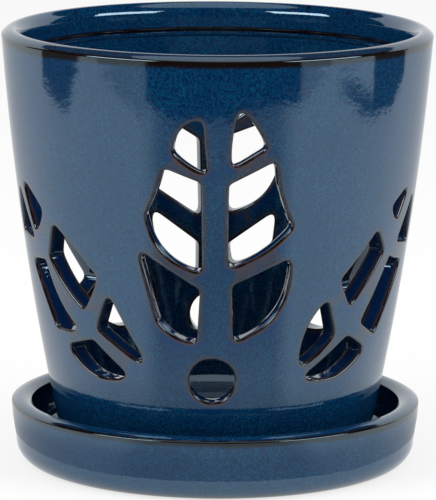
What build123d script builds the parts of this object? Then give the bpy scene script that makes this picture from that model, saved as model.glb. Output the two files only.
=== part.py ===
from build123d import *
import os
from math import cos, degrees, radians, sin

# A glazed stoneware orchid pot with leaf-shaped air slots, standing loose in its saucer.
# Millimetres, +Z up. The origin is the middle of the saucer's underside; -Y is the front.

os.makedirs("parts", exist_ok=True)

# Saucer
saucer_foot_radius = 8.0
saucer_wall_radius = 71.0
saucer_rim_radius = 72.6
saucer_rim_height = 21.6
saucer_height = 23.0
saucer_rim_width = 7.2
saucer_floor = 7.0
saucer_cove_radius = 5.0
saucer_edge_radius = 1.1

# Pot body
pot_height = 148.1
foot_rise = 8.5
foot_edge_radius = 8.0
wall_foot_radius = 56.4
wall_rim_radius = 75.8
wall_bulge = 2.2
wall_rim_drop = 5.1
lip_radius = 76.1
lip_drop = 2.1
lip_width = 7.2
lip_edge_radius = 1.2
lip_inner_edge_radius = 3.0
rim_band_depth = 7.6
rim_band_taper = 0.5
rim_band_step = 1.1
rim_band_edge_radius = 0.8
wall_thickness = 6.0
wall_foot_thickness = 7.4
pot_floor_thickness = 9.0
pot_cove_radius = 10.0
drain_diameter = 16.0
drain_edge_width = 1.0

# Inside, the wall's gentle curve runs in three straight tapers, which meet at these shares of its height
wall_bend_shares = (0.24, 0.57)

# Slots
leaf_foot_height = 55.0
leaf_height = 80.0
leaf_width = 52.0
side_leaf_foot_height = 38.0
side_leaf_height = 66.0
side_leaf_width = 60.0
side_leaf_turn = 55.0
slot_corner_radius = 1.8
slot_edge_width = 0.8
vent_diameter = 15.6
vent_height = 40.7
vent_offset = -1.1
overrun = 3.0

# The same leaves again at the back, placed by eye and so a little off
back_turn = 180.0
back_leaf_foot_height = 51.5
back_left_leaf_turn = 57.0
back_right_leaf_turn = 52.0
back_vent_height = 41.5
back_vent_offset = 1.6

# Every slot is a ring of corners, clockwise seen from outside. Each corner gives its share of the
# leaf's width and height, then the bulge of the side that follows as a share of that side's length.
middle_leaf_shares = [
    [(-0.096, 0.978, 0), (-0.062, 0.738, 0.06), (-0.288, 0.835, 0.20)],
    [(0.156, 1.025, 0.05), (0.335, 0.854, 0), (0.104, 0.765, 0.055)],
    [(-0.358, 0.765, 0), (-0.102, 0.703, 0), (-0.094, 0.308, 0.174), (-0.473, 0.554, -0.035)],
    [(0.402, 0.798, -0.065), (0.519, 0.506, 0.075), (0.083, 0.328, 0), (0.083, 0.695, 0)],
    [(-0.531, 0.403, 0), (-0.108, 0.230, 0), (-0.127, -0.003, 0.137), (-0.394, 0.091, 0)],
    [(0.500, 0.365, 0.196), (0.119, -0.001, 0), (0.108, 0.249, 0)],
]
back_leaf_shares = [
    [(-0.096, 0.978, 0), (-0.062, 0.738, 0.06), (-0.288, 0.835, 0.20)],
    [(0.156, 1.025, 0.05), (0.335, 0.854, 0), (0.104, 0.765, 0.055)],
    [(-0.358, 0.747, 0), (-0.108, 0.684, 0), (-0.091, 0.335, 0.17), (-0.470, 0.575, 0)],
    [(0.402, 0.770, -0.065), (0.515, 0.480, 0), (0.132, 0.312, 0), (0.148, 0.667, 0)],
    [(-0.455, 0.352, 0), (-0.100, 0.188, 0), (-0.118, 0.100, 0.10), (-0.430, 0.215, 0)],
    [(0.490, 0.360, 0.18), (0.150, 0.045, 0), (0.150, 0.197, 0)],
]
left_leaf_shares = [
    [(-0.358, 1.008, 0.05), (-0.097, 0.873, 0.08), (-0.217, 0.739, 0)],
    [(-0.453, 0.970, 0), (-0.240, 0.692, 0), (-0.487, 0.708, 0.08)],
    [(0.010, 0.815, 0.035), (0.337, 0.564, 0.035), (0.203, 0.376, 0.05), (-0.073, 0.633, 0)],
    [(-0.323, 0.579, 0), (-0.127, 0.597, -0.09), (0.153, 0.242, 0), (-0.100, 0.236, 0)],
    [(0.403, 0.482, 0), (0.600, 0.088, 0), (0.287, 0.282, 0)],
    [(0.243, 0.211, 0), (0.460, 0.039, 0.178), (0.007, 0.155, 0)],
]
right_leaf_shares = [
    [(0.350, 1.012, 0), (0.187, 0.812, 0), (0.103, 0.900, 0)],
    [(0.458, 0.942, 0.06), (0.473, 0.658, 0), (0.230, 0.691, 0)],
    [(-0.020, 0.794, 0), (0.077, 0.670, 0), (-0.187, 0.397, 0), (-0.290, 0.552, 0)],
    [(0.163, 0.630, -0.06), (0.370, 0.585, 0), (0.103, 0.209, 0), (-0.070, 0.297, 0)],
    [(-0.367, 0.455, 0), (-0.280, 0.261, 0.07), (-0.490, 0.100, 0.135)],
    [(-0.170, 0.236, 0), (0.010, 0.145, 0.05), (-0.207, 0.022, 0.05), (-0.463, 0.035, 0)],
]

# Heights above the table, and radii that follow
pot_base = saucer_floor
pot_top = pot_base + pot_height
wall_foot = pot_base + foot_rise
wall_rim = pot_top - wall_rim_drop
wall_bends = [wall_foot + share * (wall_rim - wall_foot) for share in wall_bend_shares]
lip_edge = pot_top - lip_drop
lip_inner = lip_radius - lip_width
band_foot = lip_edge - rim_band_depth
band_inner = lip_inner - rim_band_taper
step_radius = band_inner + rim_band_step
step_height = band_foot - rim_band_step
pot_floor = pot_base + pot_floor_thickness
cove_height = pot_floor + pot_cove_radius
slot_reach = wall_foot_radius - wall_foot_thickness - overrun

palmettes = [
    (0, leaf_foot_height, middle_leaf_shares, side_leaf_turn, side_leaf_turn),
    (back_turn, back_leaf_foot_height, back_leaf_shares, back_left_leaf_turn, back_right_leaf_turn),
]
vents = [
    (0, vent_offset, vent_height),
    (back_turn, back_vent_offset, back_vent_height),
]


def wall_radius(height):
    share = (height - wall_foot) / (wall_rim - wall_foot)
    straight = wall_foot_radius + share * (wall_rim_radius - wall_foot_radius)
    return straight + 4 * wall_bulge * share * (1 - share)


def inner_radius(height):
    share = (height - cove_height) / (step_height - cove_height)
    return wall_radius(height) - wall_foot_thickness - share * (wall_thickness - wall_foot_thickness)


def facing(turn, reach):
    # A plane that faces outwards, turned about the pot's axis, at a distance from it
    outward = Vector(sin(radians(turn)), -cos(radians(turn)), 0)
    return Plane(outward * reach, x_dir=(cos(radians(turn)), sin(radians(turn)), 0), z_dir=outward)


def palmette_leaves(foot_height, middle_shares, left_turn, right_turn):
    # An upright leaf between two that lean outwards: the shares of each, its turn, foot and size
    return [
        (middle_shares, (0, foot_height, leaf_width, leaf_height)),
        (left_leaf_shares, (-left_turn, side_leaf_foot_height, side_leaf_width, side_leaf_height)),
        (right_leaf_shares, (right_turn, side_leaf_foot_height, side_leaf_width, side_leaf_height)),
    ]


def slot_corners(shares, leaf):
    # Each corner's turn about the pot's axis, its height and its side's bulge
    turn, foot, width, height = leaf
    corners = []
    for across_share, up_share, bulge in shares:
        rise = foot + up_share * height
        corners.append((turn + degrees(across_share * width / wall_radius(rise)), rise, bulge))
    return corners


def slot_outline(corners, middle, turn):
    # The slot as it is seen squarely from outside, on a plane inside the wall
    points = []
    for corner in corners:
        points.append((wall_radius(corner[1]) * sin(radians(corner[0] - middle)), corner[1]))
    with BuildSketch(facing(middle + turn, slot_reach)) as outline:
        with BuildLine():
            for index, corner in enumerate(corners):
                start = Vector(*points[index])
                end = Vector(*points[(index + 1) % len(points)])
                along = end - start
                if corner[2] == 0:
                    Line(start, end)
                else:
                    crest = (start + end) / 2 + Vector(-along.Y, along.X) * corner[2]
                    ThreePointArc(start, crest, end)
        make_face()
        fillet(outline.vertices(), slot_corner_radius)
    return outline.sketch


with BuildPart() as saucer:
    with BuildSketch(Plane.XZ) as saucer_section:
        base_radius = saucer_wall_radius - saucer_foot_radius
        inner_rim_radius = saucer_rim_radius - saucer_rim_width
        crest_radius = saucer_rim_radius - saucer_rim_width / 2
        floor_radius = inner_rim_radius - (saucer_rim_radius - saucer_wall_radius)
        with BuildLine():
            Polyline((0, saucer_floor), (0, 0), (base_radius, 0))
            JernArc((base_radius, 0), (1, 0), saucer_foot_radius, 90)
            Line((saucer_wall_radius, saucer_foot_radius), (saucer_rim_radius, saucer_rim_height))
            ThreePointArc((saucer_rim_radius, saucer_rim_height), (crest_radius, saucer_height),
                          (inner_rim_radius, saucer_rim_height))
            Polyline((inner_rim_radius, saucer_rim_height), (floor_radius, saucer_floor),
                     (0, saucer_floor))
        make_face()
        corners = saucer_section.vertices()
        fillet(corners.sort_by_distance((floor_radius, saucer_floor))[0], saucer_cove_radius)
        rim_ends = corners.sort_by_distance((crest_radius, saucer_height))[:2]
        fillet(rim_ends, saucer_edge_radius)
    revolve(axis=Axis.Z)
saucer.part.label = "saucer"

with BuildPart() as pot:
    with BuildSketch(Plane.XZ) as pot_section:
        foot_corner = (wall_radius(pot_base), pot_base)
        lip_crest = (lip_radius - lip_width / 2, pot_top)
        cove_wall_radius = inner_radius(cove_height)
        wall_middle = (pot_base + wall_rim) / 2
        inner_bends = [(inner_radius(height), height) for height in reversed(wall_bends)]
        with BuildLine():
            Polyline((0, pot_floor), (0, pot_base), foot_corner)
            ThreePointArc(foot_corner, (wall_radius(wall_middle), wall_middle), (wall_rim_radius, wall_rim))
            Line((wall_rim_radius, wall_rim), (lip_radius, lip_edge))
            ThreePointArc((lip_radius, lip_edge), lip_crest, (lip_inner, lip_edge))
            Polyline((lip_inner, lip_edge), (band_inner, band_foot), (step_radius, step_height),
                     *inner_bends, (cove_wall_radius, cove_height))
            JernArc((cove_wall_radius, cove_height), (0, -1), pot_cove_radius, -90)
            Line((cove_wall_radius - pot_cove_radius, pot_floor), (0, pot_floor))
        make_face()
        corners = pot_section.vertices()
        fillet(corners.sort_by_distance(foot_corner)[0], foot_edge_radius)
        fillet(corners.sort_by_distance((lip_radius, lip_edge))[0], lip_edge_radius)
        fillet(corners.sort_by_distance((lip_inner, lip_edge))[0], lip_inner_edge_radius)
        fillet(corners.sort_by_distance((band_inner, band_foot))[0], rim_band_edge_radius)
    revolve(axis=Axis.Z)

    # Slots, cut straight through the curved and tapered wall, each square to it at its middle
    for turn, foot_height, middle_shares, left_turn, right_turn in palmettes:
        for shares, leaf in palmette_leaves(foot_height, middle_shares, left_turn, right_turn):
            for slot in shares:
                corners = slot_corners(slot, leaf)
                middle = sum(corner[0] for corner in corners) / len(corners)
                outline = slot_outline(corners, middle, turn)
                extrude(outline, amount=lip_radius + overrun - slot_reach, mode=Mode.SUBTRACT)

    # One round vent low in the wall under each middle leaf, and a drain hole in the floor
    for turn, offset, height in vents:
        with Locations(facing(turn, 0)):
            with Locations((offset, height)):
                Hole(vent_diameter / 2, depth=lip_radius)
    with Locations((0, 0, pot_floor)):
        Hole(drain_diameter / 2, depth=pot_floor_thickness)

    # Every cut edge on the outside is softened, as the glaze leaves it
    outside = pot.faces().sort_by(SortBy.AREA)[-1]
    slot_wires, vent_wires = outside.inner_wires().group_by(lambda wire: len(wire.edges()) > 2)[::-1]
    chamfer(ShapeList(edge for wire in slot_wires for edge in wire.edges()), slot_edge_width)
    fillet(ShapeList(edge for wire in vent_wires for edge in wire.edges()), slot_edge_width)
    floors = pot.faces().filter_by(Plane.XY)
    chamfer(ShapeList(edge for floor in floors for edge in floor.inner_wires().edges()), drain_edge_width)
pot.part.label = "pot"

export_step(saucer.part, "parts/saucer.step")
export_step(pot.part, "parts/pot.step")
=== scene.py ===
from math import asin, atan2, cos, pi, radians, sin, tan

import bmesh
import bpy
from mathutils import Matrix, Vector, noise
from mathutils.kdtree import KDTree


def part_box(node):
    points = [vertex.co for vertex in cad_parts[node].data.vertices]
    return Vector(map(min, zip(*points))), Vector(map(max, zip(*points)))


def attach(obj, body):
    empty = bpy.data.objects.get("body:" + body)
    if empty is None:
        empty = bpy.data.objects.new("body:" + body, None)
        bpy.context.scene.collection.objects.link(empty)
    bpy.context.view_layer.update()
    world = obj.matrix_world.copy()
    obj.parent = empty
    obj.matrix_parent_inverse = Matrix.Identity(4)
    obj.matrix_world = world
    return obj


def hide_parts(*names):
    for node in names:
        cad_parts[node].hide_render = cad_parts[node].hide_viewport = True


# Orchid pot with leaf-shaped slots in its saucer, blue reactive glaze on stoneware.
# Metres. The pot's axis is Z and its front faces -Y. Turns are measured from the front, to the right.

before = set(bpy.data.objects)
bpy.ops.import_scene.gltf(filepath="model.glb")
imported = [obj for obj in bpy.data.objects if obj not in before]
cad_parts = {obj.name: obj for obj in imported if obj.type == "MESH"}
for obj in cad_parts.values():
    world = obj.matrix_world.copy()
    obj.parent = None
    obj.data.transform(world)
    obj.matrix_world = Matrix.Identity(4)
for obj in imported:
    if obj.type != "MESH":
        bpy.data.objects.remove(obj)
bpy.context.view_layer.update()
potLow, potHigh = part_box("pot")
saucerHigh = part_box("saucer")[1]
print("frame loaded")

pot = {
    "footRise": 0.0085,
    "footEdge": 0.008,
    "wallFootRadius": 0.0564,
    "wallRimRadius": 0.0758,
    "wallBulge": 0.0022,
    "wallRimDrop": 0.0051,
    "lipDrop": 0.0021,
    "lipWidth": 0.0072,
    "lipEdge": 0.0012,
    "lipInnerEdge": 0.003,
    "lipInnerDrop": 0.0006,
    "lipBand": (0.0017, 0.0030, 0.0008),
    "bandDepth": 0.0076,
    "bandTaper": 0.0005,
    "bandStep": 0.0011,
    "bandEdge": 0.0007,
    "ledgeDepth": 0.0008,
    "thickness": 0.006,
    "footThickness": 0.0074,
    "floorThickness": 0.009,
    "cove": 0.01,
    "underRadii": (0.046, 0.036, 0.027, 0.018),
    "floorRadii": (0.014, 0.022, 0.031),
    "drainRadius": 0.008,
    "drainEdge": 0.001,
    "drainRings": (0.003, 0.002),
    "slotCorner": 0.0018,
    "outerRound": 0.0009,
    "innerRound": 0.0007,
    "ringDepth": 0.0024,
    "slotMargin": 0.0012,
    "slotReach": 0.02,
    "wave": 0.00006,
    "waveShift": (7, 3, 1),
    "waveScales": (0.045, 0.11),
    "waveQuickShare": 0.35,
    "waveGirth": 70,
}

# How fine the meshes are, and the small distances that tell their points apart. Below zero a depth
# is counted from the wall's inside, and inside is the least such depth
meshing = {
    "columns": 216,
    "rows": 50,
    "rimRows": 3,
    "footRows": 6,
    "crownSteps": 12,
    "crownCut": 4,
    "sheetLow": 0.0275,
    "sheetHigh": 0.1425,
    "unrollRadius": 0.067,
    "slotPitch": 0.001,
    "slotSoftening": 1,
    "slotRoom": 0.35,
    "mostCorner": 0.48,
    "mostSlotCorner": 0.45,
    "cornerLength": 1.15,
    "markStep": 1000,
    "inside": -1e-9,
    "sameHeight": 1e-6,
    "sheetMargin": 1e-5,
    "weld": 2e-6,
}

leaves = {
    "width": 0.052,
    "height": 0.08,
    "foot": 0.055,
    "backFoot": 0.0515,
    "sideWidth": 0.06,
    "sideHeight": 0.066,
    "sideFoot": 0.038,
    "sideTurn": 55,
    "backLeftTurn": 57,
    "backRightTurn": 52,
    "ventRadius": 0.0078,
    "vent": (-0.0011, 0.0407),
    "backVent": (0.0016, 0.0415),
}

# Every slot is a ring of corners, clockwise from outside: shares of the leaf's width and height,
# then how far the next side bulges, as a share of its length
middleLeafShares = [
    [(-0.096, 0.978, 0), (-0.062, 0.738, 0.06), (-0.288, 0.835, 0.20)],
    [(0.156, 1.025, 0.05), (0.335, 0.854, 0), (0.104, 0.765, 0.055)],
    [(-0.358, 0.765, 0), (-0.102, 0.703, 0), (-0.094, 0.308, 0.174), (-0.473, 0.554, -0.035)],
    [(0.402, 0.798, -0.065), (0.519, 0.506, 0.075), (0.083, 0.328, 0), (0.083, 0.695, 0)],
    [(-0.531, 0.403, 0), (-0.108, 0.230, 0), (-0.127, -0.003, 0.137), (-0.394, 0.091, 0)],
    [(0.500, 0.365, 0.196), (0.119, -0.001, 0), (0.108, 0.249, 0)],
]
backLeafShares = middleLeafShares[:2] + [
    [(-0.358, 0.747, 0), (-0.108, 0.684, 0), (-0.091, 0.335, 0.17), (-0.470, 0.575, 0)],
    [(0.402, 0.770, -0.065), (0.515, 0.480, 0), (0.132, 0.312, 0), (0.148, 0.667, 0)],
    [(-0.455, 0.352, 0), (-0.100, 0.188, 0), (-0.118, 0.100, 0.10), (-0.430, 0.215, 0)],
    [(0.490, 0.360, 0.18), (0.150, 0.045, 0), (0.150, 0.197, 0)],
]
leftLeafShares = [
    [(-0.358, 1.008, 0.05), (-0.097, 0.873, 0.08), (-0.217, 0.739, 0)],
    [(-0.453, 0.970, 0), (-0.240, 0.692, 0), (-0.487, 0.708, 0.08)],
    [(0.010, 0.815, 0.035), (0.337, 0.564, 0.035), (0.203, 0.376, 0.05), (-0.073, 0.633, 0)],
    [(-0.323, 0.579, 0), (-0.127, 0.597, -0.09), (0.153, 0.242, 0), (-0.100, 0.236, 0)],
    [(0.403, 0.482, 0), (0.600, 0.088, 0), (0.287, 0.282, 0)],
    [(0.243, 0.211, 0), (0.460, 0.039, 0.178), (0.007, 0.155, 0)],
]
rightLeafShares = [
    [(0.350, 1.012, 0), (0.187, 0.812, 0), (0.103, 0.900, 0)],
    [(0.458, 0.942, 0.06), (0.473, 0.658, 0), (0.230, 0.691, 0)],
    [(-0.020, 0.794, 0), (0.077, 0.670, 0), (-0.187, 0.397, 0), (-0.290, 0.552, 0)],
    [(0.163, 0.630, -0.06), (0.370, 0.585, 0), (0.103, 0.209, 0), (-0.070, 0.297, 0)],
    [(-0.367, 0.455, 0), (-0.280, 0.261, 0.07), (-0.490, 0.100, 0.135)],
    [(-0.170, 0.236, 0), (0.010, 0.145, 0.05), (-0.207, 0.022, 0.05), (-0.463, 0.035, 0)],
]


# Pot: its section

def potSizes():
    # the heights and radii that the section turns on
    size = {"base": potLow.z, "top": potHigh.z, "lipRadius": potHigh.x}
    size["wallFoot"] = size["base"] + pot["footRise"]
    size["wallRim"] = size["top"] - pot["wallRimDrop"]
    size["lipEdge"] = size["top"] - pot["lipDrop"]
    size["lipInner"] = size["lipRadius"] - pot["lipWidth"]
    size["bandFoot"] = size["lipEdge"] - pot["bandDepth"]
    size["bandInner"] = size["lipInner"] - pot["bandTaper"]
    size["stepRadius"] = size["bandInner"] + pot["bandStep"]
    size["stepHeight"] = size["bandFoot"] - pot["bandStep"]
    size["floor"] = size["base"] + pot["floorThickness"]
    size["coveHeight"] = size["floor"] + pot["cove"]
    return size


potSize = potSizes()


def wallRadius(height):
    share = (height - potSize["wallFoot"]) / (potSize["wallRim"] - potSize["wallFoot"])
    straight = pot["wallFootRadius"] + share * (pot["wallRimRadius"] - pot["wallFootRadius"])
    return straight + 4 * pot["wallBulge"] * share * (1 - share)


def innerRadius(height):
    share = (height - potSize["coveHeight"]) / (potSize["stepHeight"] - potSize["coveHeight"])
    return wallRadius(height) - pot["footThickness"] - share * (pot["thickness"] - pot["footThickness"])


def wavedRadius(turn, height):
    # thrown and glazed walls are never quite true; the noise's place is in millimetres
    girth = pot["waveGirth"]
    spot = Vector((girth * sin(turn), -girth * cos(turn), height * 1000))
    slowScale, quickScale = pot["waveScales"]
    slow = noise.noise(spot * slowScale)
    quick = noise.noise(spot * quickScale + Vector(pot["waveShift"]))
    return wallRadius(height) + pot["wave"] * (slow + pot["waveQuickShare"] * quick)


def onPot(radius, turn, height):
    return Vector((radius * sin(turn), -radius * cos(turn), height))


def wallPoints(start, end, steps):
    # points down or up the wall's outside, without the first
    heights = [start + (end - start) * step / steps for step in range(1, steps + 1)]
    return [(wallRadius(height), height) for height in heights]


def arc(centre, radius, start, end, steps):
    # points of a section, radius first and height second; angles in degrees from outwards
    points = []
    for step in range(steps + 1):
        angle = radians(start + (end - start) * step / steps)
        points.append((centre[0] + radius * cos(angle), centre[1] + radius * sin(angle)))
    return points


def curveThrough(start, bend, end, steps):
    # a quadratic curve whose sides leave towards the bend point
    points = []
    for step in range(steps + 1):
        share = step / steps
        first = [a + (b - a) * share for a, b in zip(start, bend)]
        last = [b + (c - b) * share for b, c in zip(bend, end)]
        points.append(tuple(a + (b - a) * share for a, b in zip(first, last)))
    return points


def rounded(points, radii, steps):
    # a section with its corners rounded; a radius of zero keeps a corner sharp
    most = meshing["mostCorner"]
    section = []
    for index, point in enumerate(points):
        radius = radii[index]
        if radius == 0:
            section.append(point)
            continue
        here = Vector(point)
        before = Vector(points[index - 1]) - here
        after = Vector(points[index + 1]) - here
        reach = min(radius, before.length * most, after.length * most)
        start = here + before.normalized() * reach
        end = here + after.normalized() * reach
        section += curveThrough(tuple(start), point, tuple(end), steps)
    return section


def crownOf(outer, width, top, drop):
    # the arched top of a rim, from its outside in, without its two ends
    middle = (outer + (outer - width)) / 2
    points = []
    for step in range(1, meshing["crownSteps"]):
        across = 2 * step / meshing["crownSteps"] - 1
        points.append((middle - across * width / 2, top - drop * across ** 2))
    return points


def rimSection():
    # from the wall's top row up over the lip, down the band and under the ledge
    size = potSize
    wall = wallPoints(meshing["sheetHigh"], size["wallRim"], meshing["rimRows"])
    crown = crownOf(size["lipRadius"], pot["lipWidth"], size["top"], pot["lipDrop"])
    start = (pot["wallRimRadius"], size["wallRim"])
    lip = rounded([start, (size["lipRadius"], size["lipEdge"]), crown[0]], [0, pot["lipEdge"], 0], steps=5)
    # the rounded inner edge takes the place of the crown's last points
    cut = meshing["crownCut"]
    corners = [crown[-cut], (size["lipInner"], size["lipEdge"] - pot["lipInnerDrop"]),
               (size["bandInner"], size["bandFoot"]), (size["stepRadius"], size["stepHeight"])]
    inner = rounded(corners, [0, pot["lipInnerEdge"], pot["bandEdge"], 0], steps=8)
    ledge = size["stepHeight"] - pot["ledgeDepth"]
    return wall[:-1] + lip[:-1] + crown[:-cut] + inner + [(innerRadius(ledge), ledge)]


def footSection():
    # from the wall's bottom row down to the foot, under it and up through the drain hole
    size = potSize
    base, floor = size["base"], size["floor"]
    wall = wallPoints(meshing["sheetLow"], size["wallFoot"], meshing["footRows"])
    firstUnder, *otherUnder = pot["underRadii"]
    corner = (wallRadius(base), base)
    foot = rounded([wall[-1], corner, (firstUnder, base)], [0, pot["footEdge"], 0], steps=12)[1:]
    drain = pot["drainRadius"]
    outerRing, innerRing = pot["drainRings"]
    under = [(radius, base) for radius in (*otherUnder, drain + outerRing)]
    hole = rounded([(drain + innerRing, base), (drain, base), (drain, floor), (drain + innerRing, floor)],
                   [0, pot["drainEdge"], pot["drainEdge"], 0], steps=4)
    inside = [(radius, floor) for radius in pot["floorRadii"]]
    coveCentre = (innerRadius(size["coveHeight"]) - pot["cove"], size["coveHeight"])
    return wall + foot + under + hole + inside + arc(coveCentre, pot["cove"], -90, 0, steps=12)


# Pot: its slots

def slotCorners(shares, leaf):
    # each corner's turn about the pot's axis, its height and its side's bulge
    leafTurn, foot, width, height = leaf
    corners = []
    for across, up, bulge in shares:
        rise = foot + up * height
        corners.append((radians(leafTurn) + across * width / wallRadius(rise), rise, bulge))
    return corners


def traceSlot(corners, middle):
    # the slot as it is seen squarely from outside, evenly spaced, with its corners softened
    pitch, most = meshing["slotPitch"], meshing["mostSlotCorner"]
    spots = [Vector((wallRadius(rise) * sin(turn - middle), rise)) for turn, rise, bulge in corners]
    sides = []
    for index, start in enumerate(spots):
        along = spots[(index + 1) % len(spots)] - start
        sides.append((start, along, Vector((-along.y, along.x)) * corners[index][2] * 4))
    cuts = []
    for index in range(len(sides)):
        before, after = sides[index - 1], sides[index]
        angle = (before[2] - before[1]).angle(after[1] + after[2])
        cuts.append(pot["slotCorner"] / tan(angle / 2))
    points = []
    for index, (start, along, bulge) in enumerate(sides):
        corner = (index + 1) % len(sides)
        first, last = (min(most, cuts[end] / along.length) for end in (index, corner))
        steps = max(1, round(along.length * (1 - first - last) / pitch))
        shares = [first + (1 - last - first) * step / steps for step in range(steps + 1)]
        points += [start + along * share + bulge * share * (1 - share) for share in shares]
        nextStart, nextAlong, nextBulge = sides[corner]
        share = min(most, cuts[corner] / nextAlong.length)
        entry = nextStart + nextAlong * share + nextBulge * share * (1 - share)
        steps = max(2, round((entry - points[-1]).length * meshing["cornerLength"] / pitch))
        points += [Vector(spot) for spot in curveThrough(points[-1], spots[corner], entry, steps)[1:-1]]
    for softening in range(meshing["slotSoftening"]):
        points = [point * 0.5 + (points[index - 1] + points[(index + 1) % len(points)]) * 0.25
                  for index, point in enumerate(points)]
    return points


def traceVent(centre):
    steps = round(2 * pi * leaves["ventRadius"] / meshing["slotPitch"])
    turns = [-2 * pi * step / steps for step in range(steps)]
    return [Vector(centre) + Vector((cos(turn), sin(turn))) * leaves["ventRadius"] for turn in turns]


def makeSlots():
    # every slot: its points, the way out of it at each point, and the turn that it is cut square to
    slots = []
    palmettes = [
        (0, leaves["foot"], middleLeafShares, leaves["sideTurn"], leaves["sideTurn"], leaves["vent"]),
        (180, leaves["backFoot"], backLeafShares, leaves["backLeftTurn"], leaves["backRightTurn"],
         leaves["backVent"]),
    ]
    sideSize = (leaves["sideFoot"], leaves["sideWidth"], leaves["sideHeight"])
    for turn, foot, middleShares, leftTurn, rightTurn, vent in palmettes:
        placed = [
            (middleShares, (turn, foot, leaves["width"], leaves["height"])),
            (leftLeafShares, (turn - leftTurn, *sideSize)),
            (rightLeafShares, (turn + rightTurn, *sideSize)),
        ]
        for leafShares, leaf in placed:
            for shares in leafShares:
                corners = slotCorners(shares, leaf)
                middle = sum(corner[0] for corner in corners) / len(corners)
                slots.append({"points": traceSlot(corners, middle), "turn": middle})
        slots.append({"points": traceVent(vent), "turn": radians(turn)})
    for slot in slots:
        points = slot["points"]
        slot["outwards"] = []
        for index in range(len(points)):
            along = points[(index + 1) % len(points)] - points[index - 1]
            slot["outwards"].append(Vector((-along.y, along.x)).normalized())
    return slots


def slotSpot(slot, index, offset, depth):
    # one point of a ring round a slot: out from its outline, and in from the wall's outside
    flat = slot["points"][index] + slot["outwards"][index] * offset
    outer = wallRadius(flat.y)
    thickness = outer - innerRadius(flat.y)
    if depth < 0:
        depth = thickness + depth
    turn = slot["turn"] + asin(flat.x / (outer - min(depth, thickness)))
    if depth == 0:
        outer = wavedRadius(turn, flat.y)
    return outer - depth, turn, flat.y


def quarterRound(radius, steps):
    # a rounded edge, from the face to the cut: how far it is from the cut and from the face
    angles = [radians(90 * step / steps) for step in range(steps + 1)]
    return [(radius * (1 - sin(angle)), radius * (1 - cos(angle))) for angle in angles]


def slotRings():
    # how a slot's edge goes in: out from the outline, then in from the outside (below zero: from the inside)
    rings = quarterRound(pot["outerRound"], steps=5)
    rings += [(0, pot["ringDepth"]), (0, -pot["ringDepth"])]
    for inwards, offset in quarterRound(pot["innerRound"], steps=4):
        rings.append((offset, min(-inwards, meshing["inside"])))
    rings.append((pot["slotMargin"], meshing["inside"]))
    return rings


# Pot: its mesh

def isOpen(edge):
    return len(edge.link_faces) == 1


def middleOf(edge):
    return (edge.verts[0].co + edge.verts[1].co) / 2


def drawRings(bm, mark, slots):
    # a ring round every slot on the unrolled wall, and a search tree of the slots' outlines
    reference = meshing["unrollRadius"]
    tree = KDTree(sum(len(slot["points"]) for slot in slots))
    edges = []
    ways = []
    for number, slot in enumerate(slots):
        ring = []
        for index in range(len(slot["points"])):
            turn, height = slotSpot(slot, index, pot["slotMargin"], 0)[1:]
            vertex = bm.verts.new((turn * reference, height, 0))
            vertex[mark] = number * meshing["markStep"] + index + 1
            ring.append(vertex)
            turn, height = slotSpot(slot, index, 0, 0)[1:]
            tree.insert((turn * reference, height, 0), len(ways))
            ways.append(slot["outwards"][index])
        for index, vertex in enumerate(ring):
            edges.append(bm.edges.new((vertex, ring[(index + 1) % len(ring)])))
    tree.balance()
    return edges, tree, ways


def clearSlots(bm, mark, tree, ways):
    # takes the grid's points out of the slots and from beside them, then what is left pinched or loose
    room = pot["slotMargin"] + meshing["slotRoom"] * 2 * pi * meshing["unrollRadius"] / meshing["columns"]
    doomed = []
    for vertex in bm.verts:
        if vertex[mark] == 0:
            spot, index, distance = tree.find(vertex.co)
            within = (vertex.co - spot).xy.dot(ways[index]) < 0
            if distance < room or (distance < pot["slotReach"] and within):
                doomed.append(vertex)
    while doomed:
        bmesh.ops.delete(bm, geom=doomed, context="VERTS")
        doomed = []
        for vertex in bm.verts:
            if vertex[mark] == 0:
                openEdges = sum(isOpen(edge) for edge in vertex.link_edges)
                if openEdges > 2 or not vertex.link_faces:
                    doomed.append(vertex)


def flatSheet(bm, slots):
    # the wall unrolled, a fine grid with the slots' rings let into it, and then rolled up
    reference = meshing["unrollRadius"]
    low, high = meshing["sheetLow"], meshing["sheetHigh"]
    bmesh.ops.create_grid(bm, x_segments=meshing["columns"], y_segments=meshing["rows"], size=0.5)
    bmesh.ops.scale(bm, vec=(2 * pi * reference, high - low, 1), verts=bm.verts[:])
    bmesh.ops.translate(bm, vec=(pi / 2 * reference, (low + high) / 2, 0), verts=bm.verts[:])
    mark = bm.verts.layers.int.new("ringPlace")
    outlines, tree, ways = drawRings(bm, mark, slots)
    clearSlots(bm, mark, tree, ways)
    margin = meshing["sheetMargin"]
    left, right = -pi / 2 * reference + margin, 3 * pi / 2 * reference - margin
    for edge in bm.edges:
        if isOpen(edge):
            middle = middleOf(edge)
            if left < middle.x < right and low + margin < middle.y < high - margin:
                outlines.append(edge)
    bmesh.ops.triangle_fill(bm, use_beauty=True, use_dissolve=False, edges=outlines, normal=(0, 0, 1))
    for vertex in bm.verts:
        turn, height = vertex.co.x / reference, vertex.co.y
        vertex.co = onPot(wavedRadius(turn, height), turn, height)
    return mark


def growEdges(bm, edges):
    # extrudes open edges; gives the new edges and their points
    grown = bmesh.ops.extrude_edge_only(bm, edges=edges)["geom"]
    newEdges = [part for part in grown if isinstance(part, bmesh.types.BMEdge)]
    return newEdges, [part for part in grown if isinstance(part, bmesh.types.BMVert)]


def pushLoop(bm, height, section):
    # carries the wall's open outer loop at a height along a section, round to the inside at that height
    edges = outerEdgesAt(bm, height)
    for radius, rise in section + [(innerRadius(height), height)]:
        edges, vertices = growEdges(bm, edges)
        for vertex in vertices:
            vertex.co = onPot(radius, atan2(vertex.co.x, -vertex.co.y), rise)


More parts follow.
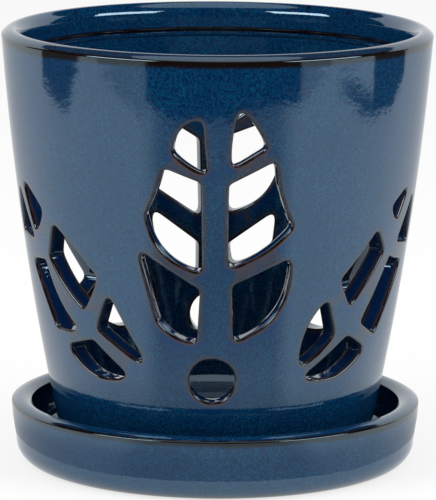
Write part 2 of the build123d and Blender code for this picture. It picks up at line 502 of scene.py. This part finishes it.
def outerEdgesAt(bm, height):
    # the open edges at a height that lie on the wall's outside
    least = wallRadius(height) - pot["thickness"] / 2
    found = []
    for edge in bm.edges:
        level = all(abs(vertex.co.z - height) < meshing["sameHeight"] for vertex in edge.verts)
        if isOpen(edge) and level and middleOf(edge).xy.length > least:
            found.append(edge)
    return found


def ringSpot(slots, marked, offset, depth):
    # where a marked point of a slot's ring goes
    number, index = divmod(marked - 1, meshing["markStep"])
    return onPot(*slotSpot(slots[number], index, offset, depth))


def addInside(bm, mark, slots):
    # a copy of the outside sheet, moved in and turned round
    parts = bmesh.ops.duplicate(bm, geom=bm.verts[:] + bm.edges[:] + bm.faces[:])["geom"]
    for vertex in [part for part in parts if isinstance(part, bmesh.types.BMVert)]:
        if vertex[mark] > 0:
            vertex.co = ringSpot(slots, vertex[mark], pot["slotMargin"], meshing["inside"])
            vertex[mark] = -1
        else:
            turn, height = atan2(vertex.co.x, -vertex.co.y), vertex.co.z
            vertex.co = onPot(innerRadius(height), turn, height)
    bmesh.ops.reverse_faces(bm, faces=[part for part in parts if isinstance(part, bmesh.types.BMFace)])


def buildPot(slots):
    bm = bmesh.new()
    mark = flatSheet(bm, slots)
    addInside(bm, mark, slots)
    edges = [edge for edge in bm.edges if isOpen(edge) and all(vertex[mark] > 0 for vertex in edge.verts)]
    for offset, depth in slotRings():
        edges, vertices = growEdges(bm, edges)
        for vertex in vertices:
            vertex.co = ringSpot(slots, vertex[mark], offset, depth)
    pushLoop(bm, meshing["sheetHigh"], rimSection())
    pushLoop(bm, meshing["sheetLow"], footSection())
    return finishPiece(bm, "glazedPot")


def addObject(bm, name):
    mesh = bpy.data.meshes.new(name)
    bm.to_mesh(mesh)
    bm.free()
    made = bpy.data.objects.new(name, mesh)
    bpy.context.scene.collection.objects.link(made)
    return made


def finishPiece(bm, name):
    # welds the mesh, turns its faces outwards and makes a smooth piece of it
    bmesh.ops.remove_doubles(bm, verts=bm.verts[:], dist=meshing["weld"])
    bmesh.ops.recalc_face_normals(bm, faces=bm.faces[:])
    openEdges = len([edge for edge in bm.edges if len(edge.link_faces) != 2])
    triangles = sum(len(face.verts) - 2 for face in bm.faces)
    volume = bm.calc_volume(signed=True)
    print(name, "triangles", triangles, "open edges", openEdges, "volume ml", round(volume * 1e6, 1))
    piece = addObject(bm, name)
    piece.data.shade_smooth()
    return piece


def edgeAttributes(piece, slots):
    # for the glaze: how many millimetres each point is from the nearest slot's edge, whether it lies
    # above or below that slot, and how deep in the wall it is, none outside and one inside
    tree = KDTree(2 * sum(len(slot["points"]) for slot in slots))
    rises = []
    for slot in slots:
        for index in range(len(slot["points"])):
            for depth in (0, meshing["inside"]):
                tree.insert(onPot(*slotSpot(slot, index, 0, depth)), len(rises))
                rises.append(slot["outwards"][index].y)
    tree.balance()
    edgeDistance, edgeRise, wallDepth = (piece.data.attributes.new(name, "FLOAT", "POINT")
                                         for name in ("edgeDistance", "edgeRise", "wallDepth"))
    for number, vertex in enumerate(piece.data.vertices):
        index, gap = tree.find(vertex.co)[1:]
        edgeDistance.data[number].value = gap * 1000
        edgeRise.data[number].value = rises[index]
        height = vertex.co.z
        if meshing["sheetLow"] < height < meshing["sheetHigh"]:
            outer = wallRadius(height)
            wallDepth.data[number].value = (outer - vertex.co.xy.length) / (outer - innerRadius(height))


slots = makeSlots()
potPiece = buildPot(slots)
edgeAttributes(potPiece, slots)
print("pot built")

# Saucer

saucer = {
    "footRadius": 0.008,
    "wallRadius": 0.071,
    "wallPoints": ((0.0716, 0.0125), (0.0722, 0.0165)),
    "rimHeight": 0.0216,
    "rimWidth": 0.0072,
    "rimBand": (0.0011, 0.0028, 0.0006),
    "floor": 0.007,
    "cove": 0.005,
    "edge": 0.0011,
    "underShares": (0, 0.3, 0.6, 0.9, 0.98),
    "floorRadii": (0.05, 0.035, 0.02, 0),
    "steps": 216,
}


def saucerSection():
    # from the middle of the underside, round the foot, up the wall, over the rim and in along the floor
    rim, top, rimHeight = saucerHigh.x, saucerHigh.z, saucer["rimHeight"]
    inner = rim - saucer["rimWidth"]
    baseRadius = saucer["wallRadius"] - saucer["footRadius"]
    under = [(baseRadius * share, 0) for share in saucer["underShares"]]
    foot = arc((baseRadius, saucer["footRadius"]), saucer["footRadius"], -90, 0, steps=10)
    crown = crownOf(rim, saucer["rimWidth"], top, top - rimHeight)
    wallLow, wallHigh = saucer["wallPoints"]
    outer = rounded([wallHigh, (rim, rimHeight), crown[0]], [0, saucer["edge"], 0], steps=5)
    floorRadius = inner - (rim - saucer["wallRadius"])
    floor = [(radius, saucer["floor"]) for radius in saucer["floorRadii"]]
    inside = rounded([crown[-1], (inner, rimHeight), (floorRadius, saucer["floor"]), floor[0]],
                     [0, saucer["edge"], saucer["cove"], 0], steps=8)
    return under + foot + [wallLow] + outer[:-1] + crown[:-1] + inside + floor[1:]


def buildSaucer():
    bm = bmesh.new()
    points = [bm.verts.new((radius, 0, height)) for radius, height in saucerSection()]
    edges = [bm.edges.new(pair) for pair in zip(points, points[1:])]
    bmesh.ops.spin(bm, geom=points + edges, cent=(0, 0, 0), axis=(0, 0, 1), angle=2 * pi,
                   steps=saucer["steps"], use_merge=True)
    return finishPiece(bm, "glazedSaucer")


saucerPiece = buildSaucer()
print("saucer built")

# Glaze: its colours and gloss, then its noises as scale, detail and roughness, then the stretches of
# a noise over which a spot comes up, how strong each spot gets, and the fine unevenness
glaze = {
    "deep": (0.0005, 0.012, 0.046),
    "blue": (0.0009, 0.023, 0.076),
    "teal": (0.003, 0.076, 0.140),
    "pool": (0.0008, 0.018, 0.085),
    "violet": (0.012, 0.034, 0.110),
    "brown": (0.0065, 0.0036, 0.0028),
    "rust": (0.055, 0.026, 0.011),
    "halo": (0.024, 0.021, 0.021),
    # painted shade: a darker navy on the slots' cut faces, where little light reaches
    "paintedTunnelShade": (0.0004, 0.006, 0.022),
    "clay": (0.32, 0.21, 0.14),
    "clayRoughness": 0.85,
    "roughness": 0.045,
    "dullness": 0.03,
    "ior": 1.93,
    "tint": (0.59, 0.84, 1.0),
    "cloudNoise": (45, 3, 0.5),
    "mottleNoise": (800, 4, 0.65),
    "grainNoise": (1500, 3, 0.65),
    "warmNoise": (1300, 2, 0.5),
    "warmShift": (3.1, 1.7, 0.4),
    "edgeNoise": (260, 3, 0.5),
    "bandNoise": (24, 2, 0.5),
    "peelNoise": (420, 3, 0.5),
    "mottle": (0.36, 0.62),
    "cloud": (0.36, 0.62),
    "tealSpots": (0.46, 0.66),
    "tealLeast": 0.35,
    "tealCloud": 0.35,
    "violetSpots": (0.50, 0.66),
    "violetShare": 0.35,
    "dullSpots": (0.40, 0.50),
    "peelGrain": 0.25,
    "bump": 0.12,
    "bumpDepth": 0.0002,
    "bandWander": 0.0008,
    "bandTop": (-0.0003, -0.0009),
}


def newMaterial(name):
    material = bpy.data.materials.new(name)
    material.use_nodes = True
    material.node_tree.nodes.clear()
    return material, material.node_tree


def setInput(tree, socket, value):
    if isinstance(value, bpy.types.NodeSocket):
        tree.links.new(value, socket)
    else:
        socket.default_value = value


def addNode(tree, kind, settings=None, inputs=None):
    node = tree.nodes.new(kind)
    for key, value in (settings or {}).items():
        setattr(node, key, value)
    for key, value in (inputs or {}).items():
        setInput(tree, node.inputs[key], value)
    return node


def maths(tree, operation, *values):
    node = addNode(tree, "ShaderNodeMath", {"operation": operation}, dict(enumerate(values)))
    return node.outputs[0]


def product(tree, first, *others):
    for other in others:
        first = maths(tree, "MULTIPLY", first, other)
    return first


def greatest(tree, first, *others):
    for other in others:
        first = maths(tree, "MAXIMUM", first, other)
    return first


def blendColours(tree, share, first, second):
    node = addNode(tree, "ShaderNodeMix", {"data_type": "RGBA"}, {0: share})
    for index, value in ((6, first), (7, second)):
        setInput(tree, node.inputs[index], (*value, 1) if isinstance(value, tuple) else value)
    return node.outputs[2]


def fade(tree, value, start, end):
    # one at the start, falling smoothly to none at the end
    node = addNode(tree, "ShaderNodeMapRange", {"interpolation_type": "SMOOTHSTEP"},
                   {0: value, 1: start, 2: end, 3: 1.0, 4: 0.0})
    return node.outputs[0]


def rising(tree, value, start, end):
    # none at the start, one at the end
    return maths(tree, "SUBTRACT", 1.0, fade(tree, value, start, end))


def fadeFrom(tree, value, edge, near, far):
    # a fade between two distances from an edge
    return fade(tree, value, edge + near, edge + far)


def band(tree, value, start, end, soft):
    # one between the two ends, falling to none over the soft width
    entering = fade(tree, value, start + soft / 2, start - soft / 2)
    return product(tree, entering, fade(tree, value, end - soft / 2, end + soft / 2))


def noiseOf(tree, place, scale, detail, roughness):
    node = addNode(tree, "ShaderNodeTexNoise", inputs={
        "Vector": place, "Scale": scale, "Detail": detail, "Roughness": roughness})
    return node.outputs[0]


def attributeOf(tree, name):
    return addNode(tree, "ShaderNodeAttribute", {"attribute_name": name}).outputs["Fac"]


def spotOf(tree):
    # where a point is, in the piece's own coordinates, with its distance from the axis
    place = addNode(tree, "ShaderNodeTexCoord").outputs["Object"]
    x, y, height = addNode(tree, "ShaderNodeSeparateXYZ", inputs={"Vector": place}).outputs
    radius = maths(tree, "SQRT", maths(tree, "MULTIPLY_ADD", y, y, product(tree, x, x)))
    return {"place": place, "x": x, "y": y, "height": height, "radius": radius}


def glazeMaterial(name, edgeMasks):
    material, tree = newMaterial(name)
    spot = spotOf(tree)
    place = spot["place"]
    cloud = noiseOf(tree, place, *glaze["cloudNoise"])
    mottle = noiseOf(tree, place, *glaze["mottleNoise"])
    grain = noiseOf(tree, place, *glaze["grainNoise"])
    shifted = addNode(tree, "ShaderNodeVectorMath", {"operation": "ADD"}, {0: place, 1: glaze["warmShift"]})
    warm = noiseOf(tree, shifted.outputs[0], *glaze["warmNoise"])
    body = blendColours(tree, rising(tree, mottle, *glaze["mottle"]), glaze["deep"], glaze["blue"])
    cloudShare = rising(tree, cloud, *glaze["cloud"])
    tealReach = maths(tree, "MULTIPLY_ADD", cloudShare, glaze["tealCloud"], glaze["tealLeast"])
    tealShare = product(tree, rising(tree, grain, *glaze["tealSpots"]), tealReach)
    body = blendColours(tree, tealShare, body, glaze["teal"])
    violetShare = product(tree, rising(tree, warm, *glaze["violetSpots"]), glaze["violetShare"])
    body = blendColours(tree, violetShare, body, glaze["violet"])

    spot["edgeNoise"] = noiseOf(tree, place, *glaze["edgeNoise"])
    masks = edgeMasks(tree, spot)
    # the marks, the painted tunnel shade among them, are laid over the glaze in this order
    for mark in ("paintedTunnelShade", "halo", "pool", "rust", "brown"):
        if mark in masks:
            body = blendColours(tree, masks[mark], body, glaze[mark])

    peel = noiseOf(tree, place, *glaze["peelNoise"])
    bump = addNode(tree, "ShaderNodeBump", inputs={
        "Strength": glaze["bump"], "Distance": glaze["bumpDepth"],
        "Height": maths(tree, "MULTIPLY_ADD", grain, glaze["peelGrain"], peel)})
    # the dark spots between the teal ones are a little duller
    dull = fade(tree, grain, *glaze["dullSpots"])
    shader = addNode(tree, "ShaderNodeBsdfPrincipled", inputs={
        "Base Color": body, "IOR": glaze["ior"], "Specular Tint": (*glaze["tint"], 1),
        "Roughness": maths(tree, "MULTIPLY_ADD", dull, glaze["dullness"], glaze["roughness"]),
        "Normal": bump.outputs[0]})
    bare = addNode(tree, "ShaderNodeBsdfPrincipled", inputs={
        "Base Color": (*glaze["clay"], 1), "Roughness": glaze["clayRoughness"]})
    mixed = addNode(tree, "ShaderNodeMixShader", inputs={
        0: masks["bare"], 1: shader.outputs[0], 2: bare.outputs[0]})
    addNode(tree, "ShaderNodeOutputMaterial", inputs={0: mixed.outputs[0]})
    return material


def darkBand(tree, spot, edge, reaches):
    # the brown that a rim's outer edge shows: it starts at the edge and hangs down unevenly
    least, most, softness = reaches
    slow = noiseOf(tree, spot["place"], *glaze["bandNoise"])
    reach = greatest(tree, maths(tree, "MULTIPLY_ADD", slow, 2 * (most - least), 2 * least - most), least)
    reach = maths(tree, "MULTIPLY_ADD", spot["edgeNoise"], glaze["bandWander"], reach)
    below = maths(tree, "SUBTRACT", edge, spot["height"])
    hanging = fade(tree, maths(tree, "SUBTRACT", below, reach), -softness, softness)
    return product(tree, hanging, fade(tree, below, *glaze["bandTop"]))


# How the glaze breaks at the pot's edges, and the painted shade in its slots. A pair runs from where a mark
# is full to where it ends: in millimetres from a slot's edge for the slots' marks, in metres from the named
# edge for the others. Under is measured on edgeRise, crownNoise on a noise, and the painted tunnel shade on
# wallDepth
potMarks = {
    "wander": 1.6,
    "slotBrown": (0.35, 1.0),
    "slotHalo": (1.0, 3.0),
    "haloShare": 0.35,
    "slotRust": (0.9, 1.9),
    "rustShare": 0.35,
    "rustUnder": 0.4,
    "pool": (2.0, 6.0),
    "poolShare": 0.7,
    "under": (-0.6, 0.0),
    "lipFace": (-0.0015, -0.003),
    "ledge": (0.0005, 0.0012),
    "ledgeInner": (0.001, 0.002),
    "crown": (0.0004, -0.0004),
    "crownOuter": (0.0006, -0.0002),
    "crownShare": 0.35,
    "crownLine": (-0.0028, 0.0002, 0.0006),
    "crownNoise": (0.72, 0.58),
    # painted shade on the slots' cut faces, full between these depths of the wall
    "paintedTunnelShade": (0.2, 0.9, 0.15),
    "paintedTunnelShadeShare": 0.75,
    "bare": (0.0002, 0.0005),
}


def slotMasks(tree, edgeNoise):
    # brown at a slot's edge, then rust and a grey halo, glaze that pools below a slot, and painted shade on
    # the cut faces within it
    marks = potMarks
    distance = attributeOf(tree, "edgeDistance")
    wander = maths(tree, "MULTIPLY_ADD", edgeNoise, marks["wander"], -marks["wander"] / 2)
    wandered = maths(tree, "ADD", distance, wander)
    under = fade(tree, attributeOf(tree, "edgeRise"), *marks["under"])
    rustShare = maths(tree, "MULTIPLY_ADD", under, marks["rustUnder"], marks["rustShare"])
    return {
        "brown": fade(tree, wandered, *marks["slotBrown"]),
        "halo": product(tree, fade(tree, wandered, *marks["slotHalo"]), marks["haloShare"]),
        "pool": product(tree, fade(tree, distance, *marks["pool"]), under, marks["poolShare"]),
        "rust": product(tree, fade(tree, wandered, *marks["slotRust"]), rustShare),
        # painted shade on the cut faces within the slot
        "paintedTunnelShade": product(tree, band(tree, attributeOf(tree, "wallDepth"), *marks["paintedTunnelShade"]),
                          marks["paintedTunnelShadeShare"]),
    }


def potMasks(tree, spot):
    marks, size = potMarks, potSize
    radius, height = spot["radius"], spot["height"]
    masks = slotMasks(tree, spot["edgeNoise"])
    # a dark band below the lip, thicker in places, and the ledge inside
    lip = product(tree, darkBand(tree, spot, size["lipEdge"], pot["lipBand"]),
                  fadeFrom(tree, radius, size["lipRadius"], *marks["lipFace"]))
    fromLedge = maths(tree, "ABSOLUTE", maths(tree, "SUBTRACT", height, size["bandFoot"]))
    ledge = product(tree, fade(tree, fromLedge, *marks["ledge"]),
                    fadeFrom(tree, radius, size["lipInner"], *marks["ledgeInner"]))
    # the crown is thinly glazed and greyer, with a brown line along its inner half
    isCrown = fadeFrom(tree, height, size["lipEdge"], *marks["crown"])
    crest = size["lipRadius"] - pot["lipWidth"] / 2
    outerHalf = fadeFrom(tree, radius, crest, *marks["crownOuter"])
    start, end, soft = marks["crownLine"]
    crownLine = product(tree, band(tree, radius, crest + start, crest + end, soft), isCrown,
                        fade(tree, spot["edgeNoise"], *marks["crownNoise"]))
    masks["halo"] = greatest(tree, masks["halo"], product(tree, isCrown, outerHalf, marks["crownShare"]))
    masks["brown"] = greatest(tree, masks["brown"], lip, ledge, crownLine)
    masks["bare"] = fadeFrom(tree, height, size["base"], *marks["bare"])
    return masks


# The same for the saucer, in metres from the rim's edges and from the table, but innerNoise on a noise
saucerMarks = {
    "outside": (-0.0025, -0.004),
    "inside": (0.001, 0.003),
    "innerLine": (0.001, 0.004),
    "innerNoise": (0.55, 0.35),
    "innerShare": 0.5,
    "base": (0.0008, 0.0020),
    "baseWander": 0.0012,
    "bare": (0.0002, 0.0005),
}


def saucerMasks(tree, spot):
    marks = saucerMarks
    radius, height, edgeNoise = spot["radius"], spot["height"], spot["edgeNoise"]
    rim = product(tree, darkBand(tree, spot, saucer["rimHeight"], saucer["rimBand"]),
                  fadeFrom(tree, radius, saucerHigh.x, *marks["outside"]))
    inside = fadeFrom(tree, radius, saucerHigh.x - saucer["rimWidth"], *marks["inside"])
    below = maths(tree, "SUBTRACT", saucer["rimHeight"], height)
    innerLine = product(tree, fade(tree, below, *marks["innerLine"]), inside,
                        fade(tree, edgeNoise, *marks["innerNoise"]), marks["innerShare"])
    wandered = maths(tree, "MULTIPLY_ADD", edgeNoise, -marks["baseWander"], height)
    brown = greatest(tree, rim, innerLine, fade(tree, wandered, *marks["base"]))
    return {"brown": brown, "bare": fade(tree, height, *marks["bare"])}


potPiece.data.materials.append(glazeMaterial("potGlaze", potMasks))
saucerPiece.data.materials.append(glazeMaterial("saucerGlaze", saucerMasks))
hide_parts("pot")
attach(potPiece, "pot")
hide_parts("saucer")
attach(saucerPiece, "saucer")
print("glaze done")

# Stage, light and camera

studio = {
    "floorSize": 6.0,
    "floorColour": (0.93, 0.93, 0.93),
    "floorRoughness": 0.9,
    "floorGloss": 0.1,
    "floorGlow": 0.75,
    "ambient": 0.7,
    "lampAim": (0, 0, 0.08),
    "lampHeight": 0.4,
    "lampPower": 9,
    "leftLamp": ((-0.93, -0.63, 0.85), 0.85),
    "rightLamp": ((1.0, -0.53, 0.8), 0.95),
    "paperStart": 0.085,
    "paperEnd": 2.6,
    "paperHeight": 0.0006,
    "paperSteps": 72,
    "frontTurns": (-34, 36, 14),
    "frontReach": (0.0, 0.20),
    "frontDim": 0.64,
    "behindTurns": (105, 150),
    "behindDim": 0.2,
    "closeRadii": (0.085, 0.13),
    "closeDim": 0.42,
    "wanderNoise": (16, 2, 0.5),
    "flagWander": 0.012,
    "flagSoft": 0.008,
    "flagSideSoft": 0.7,
    "canopyColour": (0.004, 0.004, 0.004),
    "canopyRadius": 2.6,
    "canopyTurn": 120,
    "canopyBackLow": 38,
    "canopyHigh": 68,
    "canopyRows": 12,
    "canopySteps": 40,
    "lens": 316.7,
    "distance": 1.562,
    "elevation": 10.4,
    "roll": 0.37,
    "aim": 0.0753,
    "shift": 0.0038,
}


def buildFloor():
    bm = bmesh.new()
    bmesh.ops.create_grid(bm, x_segments=1, y_segments=1, size=studio["floorSize"] / 2)
    floor = addObject(bm, "floor")
    material, tree = newMaterial("floorPaper")
    paper = addNode(tree, "ShaderNodeBsdfPrincipled", inputs={
        "Base Color": (*studio["floorColour"], 1), "Roughness": studio["floorRoughness"],
        "Specular IOR Level": studio["floorGloss"]})
    white = addNode(tree, "ShaderNodeEmission", inputs={"Color": (1, 1, 1, 1), "Strength": 1.0})
    glow = product(tree, seenRays(tree), studio["floorGlow"])
    mixed = addNode(tree, "ShaderNodeMixShader", inputs={0: glow, 1: paper.outputs[0], 2: white.outputs[0]})
    addNode(tree, "ShaderNodeOutputMaterial", inputs={0: mixed.outputs[0]})
    floor.data.materials.append(material)


def seenRays(tree):
    # one for the rays that see the background: the camera's, and those of gloss and glass
    rays = addNode(tree, "ShaderNodeLightPath").outputs
    return greatest(tree, rays["Is Camera Ray"], rays["Is Glossy Ray"], rays["Is Transmission Ray"])


def buildWorld():
    world = bpy.data.worlds.new("studioWorld")
    bpy.context.scene.world = world
    world.use_nodes = True
    tree = world.node_tree
    tree.nodes.clear()
    ambient = studio["ambient"]
    strength = maths(tree, "MULTIPLY_ADD", seenRays(tree), 1 - ambient, ambient)
    sky = addNode(tree, "ShaderNodeBackground", inputs={"Color": (1, 1, 1, 1), "Strength": strength})
    addNode(tree, "ShaderNodeOutputWorld", inputs={0: sky.outputs[0]})


def addLamp(name):
    place, width = studio[name]
    lamp = bpy.data.lights.new(name, "AREA")
    lamp.shape = "RECTANGLE"
    lamp.size = width
    lamp.size_y = studio["lampHeight"]
    lamp.energy = studio["lampPower"]
    stand = bpy.data.objects.new(name, lamp)
    stand.location = place
    stand.rotation_euler = (Vector(studio["lampAim"]) - Vector(place)).to_track_quat("-Z", "Y").to_euler()
    stand.visible_camera = False
    bpy.context.scene.collection.objects.link(stand)


def addCard(name, section, start, end, steps):
    # a card spun from a section about the pot's axis, which only the glaze's gloss sees
    bm = bmesh.new()
    points = [bm.verts.new(onPot(radius, radians(start), height)) for radius, height in section]
    edges = [bm.edges.new(pair) for pair in zip(points, points[1:])]
    bmesh.ops.spin(bm, geom=points + edges, cent=(0, 0, 0), axis=(0, 0, 1), angle=radians(end - start),
                   steps=steps, use_merge=end - start == 360)
    card = addObject(bm, name)
    card.visible_camera = False
    card.visible_shadow = False
    card.visible_diffuse = False
    card.visible_transmission = False
    material, tree = newMaterial(name)
    card.data.materials.append(material)
    return tree


# Each flag: its turns from and to at its near edge and at its widest, the radii of these two,
# the radius where it ends, and how much it darkens the paper
flags = [
    (-24, 8, -36, 43, 0.44, 0.50, 9, 1.0),
    (-40, -36, -63, -36, 0.455, 0.60, 9, 0.42),
    (43, 44, 43, 60, 0.50, 0.60, 9, 0.42),
    (-90, -84, -103, -75, 0.53, 0.61, 9, 0.92),
    (80, 88, 63, 104, 0.505, 0.56, 0.565, 0.92),
    (88, 104, 88, 115, 0.555, 0.68, 9, 0.95),
]


def flagShare(tree, turn, radius, shape):
    # one within a flag, falling to none at its edges
    nearStart, nearEnd, wideStart, wideEnd, near, wide, limit = shape
    soft = studio["flagSideSoft"]
    share = addNode(tree, "ShaderNodeMapRange", inputs={0: radius, 1: near, 2: wide}).outputs[0]
    start = maths(tree, "MULTIPLY_ADD", share, wideStart - nearStart, nearStart)
    end = maths(tree, "MULTIPLY_ADD", share, wideEnd - nearEnd, nearEnd)
    return product(tree, fade(tree, maths(tree, "SUBTRACT", turn, start), soft, -soft),
                   fade(tree, maths(tree, "SUBTRACT", turn, end), -soft, soft),
                   band(tree, radius, near, limit, studio["flagSoft"]))


def darken(tree, level, share, strength):
    return product(tree, level, maths(tree, "MULTIPLY_ADD", share, -strength, 1.0))


def addPaper():
    # what the glaze sees round it: pale paper, dimmer in front, with black flags beyond
    section = [(studio[end], studio["paperHeight"]) for end in ("paperStart", "paperEnd")]
    tree = addCard("reflectedPaper", section, 0, 360, studio["paperSteps"])
    spot = spotOf(tree)
    forward = product(tree, spot["y"], -1.0)
    turn = maths(tree, "DEGREES", maths(tree, "ARCTAN2", spot["x"], forward))
    wander = studio["flagWander"]
    uneven = noiseOf(tree, spot["place"], *studio["wanderNoise"])
    radius = maths(tree, "ADD", spot["radius"], maths(tree, "MULTIPLY_ADD", uneven, wander * 2, -wander))
    front = product(tree, band(tree, turn, *studio["frontTurns"]),
                    rising(tree, radius, *studio["frontReach"]))
    level = darken(tree, 1.0, front, studio["frontDim"])
    # less light reaches the paper behind the pot, and close to it
    behind = rising(tree, maths(tree, "ABSOLUTE", turn), *studio["behindTurns"])
    level = darken(tree, level, behind, studio["behindDim"])
    level = darken(tree, level, fade(tree, radius, *studio["closeRadii"]), studio["closeDim"])
    for *shape, strength in flags:
        level = darken(tree, level, flagShare(tree, turn, radius, shape), strength)
    glow = addNode(tree, "ShaderNodeEmission", inputs={"Color": (1, 1, 1, 1), "Strength": level})
    addNode(tree, "ShaderNodeOutputMaterial", inputs={0: glow.outputs[0]})


def addCanopy(name, low, start, end):
    # a part of the black canopy, open overhead, that keeps the pot's inside dark
    section = arc((0, 0), studio["canopyRadius"], low, studio["canopyHigh"], studio["canopyRows"])
    tree = addCard(name, section, start, end, studio["canopySteps"])
    black = addNode(tree, "ShaderNodeBsdfDiffuse", inputs={"Color": (*studio["canopyColour"], 1)})
    addNode(tree, "ShaderNodeOutputMaterial", inputs={0: black.outputs[0]})


def addCamera():
    camera = bpy.data.cameras.new("camera")
    camera.lens = studio["lens"]
    camera.shift_x = studio["shift"]
    stand = bpy.data.objects.new("camera", camera)
    lift = radians(studio["elevation"])
    back = Vector((0, -cos(lift), sin(lift))) * studio["distance"]
    turn = Matrix.Rotation(pi / 2 - lift, 4, "X") @ Matrix.Rotation(radians(studio["roll"]), 4, "Z")
    stand.matrix_world = Matrix.Translation(back + Vector((0, 0, studio["aim"]))) @ turn
    bpy.context.scene.collection.objects.link(stand)
    bpy.context.scene.camera = stand


buildFloor()
buildWorld()
addLamp("leftLamp")
addLamp("rightLamp")
addPaper()
addCanopy("frontCanopy", 0, -studio["canopyTurn"], studio["canopyTurn"])
addCanopy("backCanopy", studio["canopyBackLow"], studio["canopyTurn"], 360 - studio["canopyTurn"])
addCamera()
bpy.context.scene.view_settings.view_transform = "Standard"
print("studio ready")
